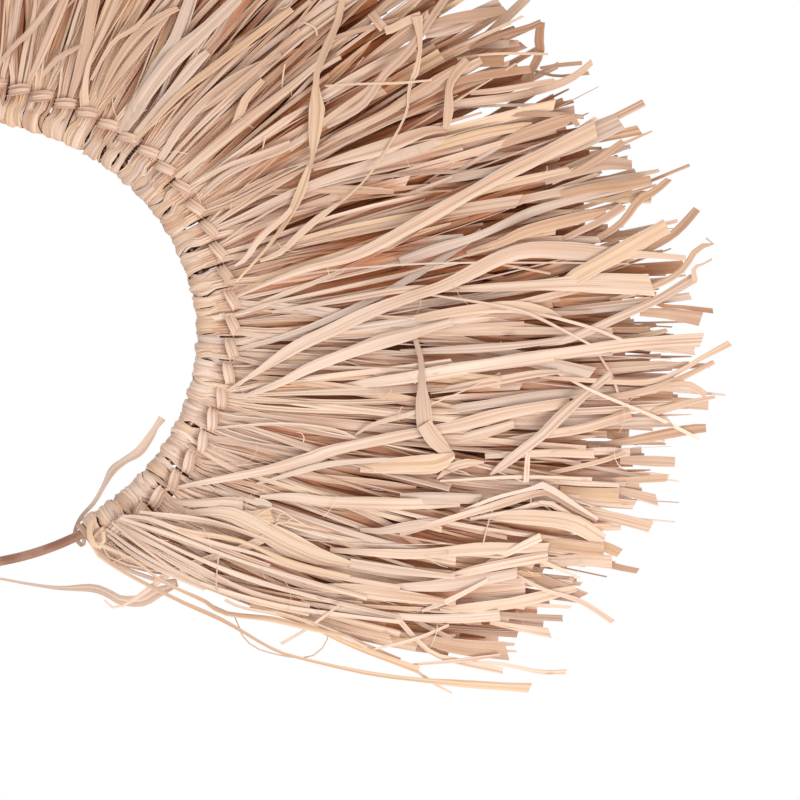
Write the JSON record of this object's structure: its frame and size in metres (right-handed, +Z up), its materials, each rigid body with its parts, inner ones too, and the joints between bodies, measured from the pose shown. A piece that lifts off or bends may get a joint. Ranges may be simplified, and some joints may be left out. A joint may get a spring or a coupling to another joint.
{
  "type": "raffia wall hanging",
  "caption": "Oval wire hoop with raffia bundles folded over it side by side and twined at the necks, their long tails fanning out as a fringe around a bare bottom. Hangs on a nail.",
  "frame": {"origin": "where the nail holds it: on the inner side of the wrapped hoop, at the top, in the middle plane of the hoop", "axes": "+Z up, +X to the right of someone who faces it, so the front faces -Y and the wall is at +Y"},
  "size_m": [0.61, 0.0319, 0.4099],
  "materials": {
    "raffia": "dry natural raffia, matt with a soft sheen along the fibres, slightly see-through",
    "copper_wire": "copper-coloured wire, darkened, glossy"
  },
  "bodies": {
    "root": {"wire_hoop": "copper_wire", "twining_strand_1": "raffia", "twining_strand_2": "raffia", "raffia_bundle_01": "raffia", "raffia_bundle_02": "raffia", "raffia_bundle_03": "raffia", "raffia_bundle_04": "raffia", "raffia_bundle_05": "raffia", "raffia_bundle_06": "raffia", "raffia_bundle_07": "raffia", "raffia_bundle_08": "raffia", "raffia_bundle_09": "raffia", "raffia_bundle_10": "raffia", "raffia_bundle_11": "raffia", "raffia_bundle_12": "raffia", "raffia_bundle_13": "raffia", "raffia_bundle_14": "raffia", "raffia_bundle_15": "raffia", "raffia_bundle_16": "raffia", "raffia_bundle_17": "raffia", "raffia_bundle_18": "raffia", "raffia_bundle_19": "raffia", "raffia_bundle_20": "raffia", "raffia_bundle_21": "raffia", "raffia_bundle_22": "raffia", "raffia_bundle_23": "raffia", "raffia_bundle_24": "raffia", "raffia_bundle_25": "raffia", "raffia_bundle_26": "raffia", "raffia_bundle_27": "raffia", "raffia_bundle_28": "raffia", "raffia_bundle_29": "raffia", "raffia_bundle_30": "raffia", "raffia_bundle_31": "raffia", "raffia_bundle_32": "raffia", "raffia_bundle_33": "raffia", "raffia_bundle_34": "raffia", "raffia_bundle_35": "raffia", "raffia_bundle_36": "raffia", "raffia_bundle_37": "raffia", "raffia_bundle_38": "raffia", "raffia_bundle_39": "raffia", "raffia_bundle_40": "raffia", "raffia_bundle_41": "raffia", "raffia_bundle_42": "raffia", "raffia_bundle_43": "raffia", "raffia_bundle_44": "raffia", "raffia_bundle_45": "raffia", "raffia_bundle_46": "raffia", "raffia_bundle_47": "raffia", "raffia_bundle_48": "raffia", "raffia_bundle_49": "raffia", "raffia_bundle_50": "raffia", "raffia_bundle_51": "raffia", "raffia_bundle_52": "raffia", "raffia_bundle_53": "raffia", "raffia_bundle_54": "raffia", "raffia_bundle_55": "raffia", "raffia_bundle_56": "raffia", "raffia_bundle_57": "raffia"}
  },
  "joints": []
}
